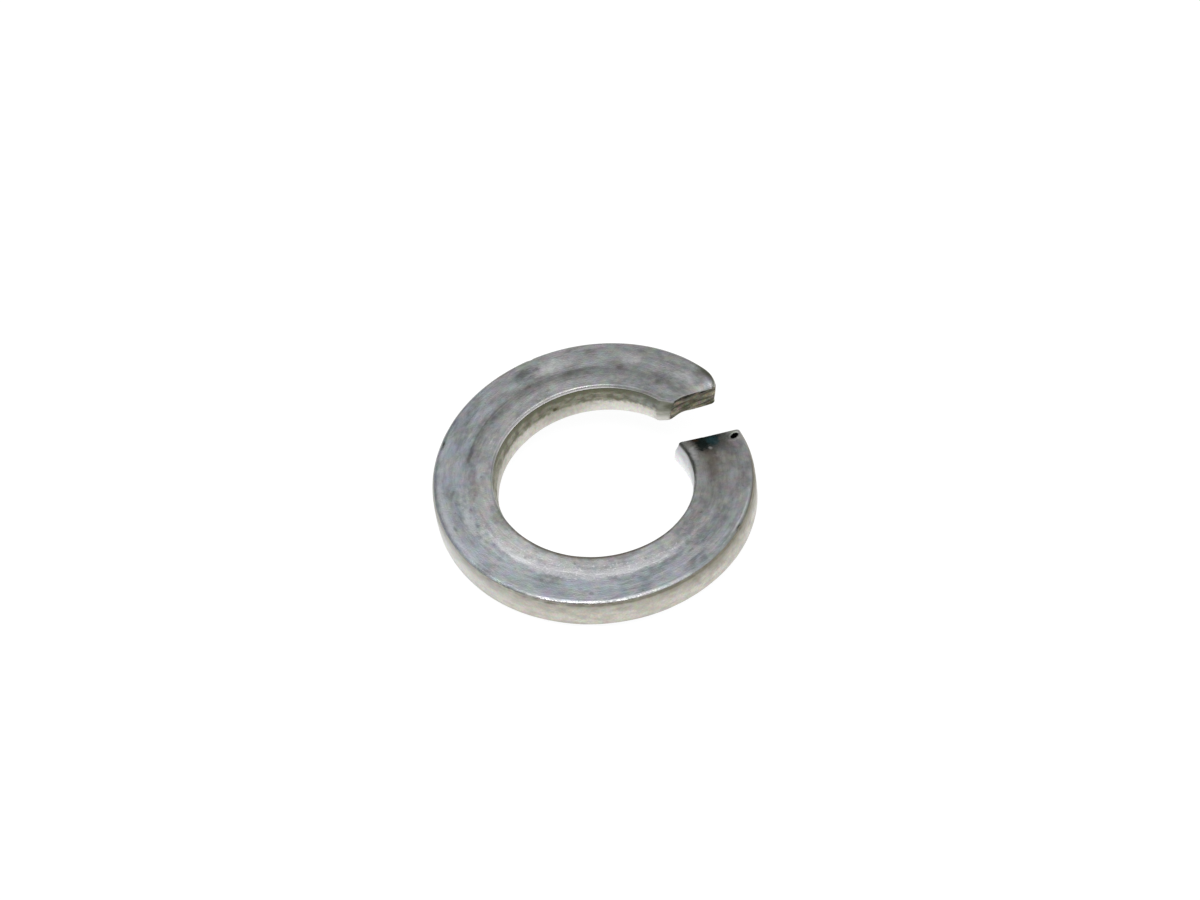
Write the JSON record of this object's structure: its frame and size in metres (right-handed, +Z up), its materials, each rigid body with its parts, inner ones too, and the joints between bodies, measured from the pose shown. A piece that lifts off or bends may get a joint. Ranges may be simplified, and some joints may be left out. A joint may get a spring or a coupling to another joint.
{
  "type": "spring lock washer",
  "caption": "Split spring lock washer: one turn of flat-sided steel wire coiled into a left-hand helix, with a slanted cut that leaves its two ends apart in height.",
  "frame": {"origin": "on the axis of the hole, halfway up the free washer", "axes": "+Z up from the level surface that the washer lies on at rest, so the hole's axis leans 5.9 degrees towards -X; the cut is about 34 degrees counterclockwise from +X, seen from above"},
  "size_m": [0.0179, 0.0177, 0.0048],
  "materials": {
    "steel": "satin"
  },
  "bodies": {
    "root": {"washer": "steel"}
  },
  "joints": []
}
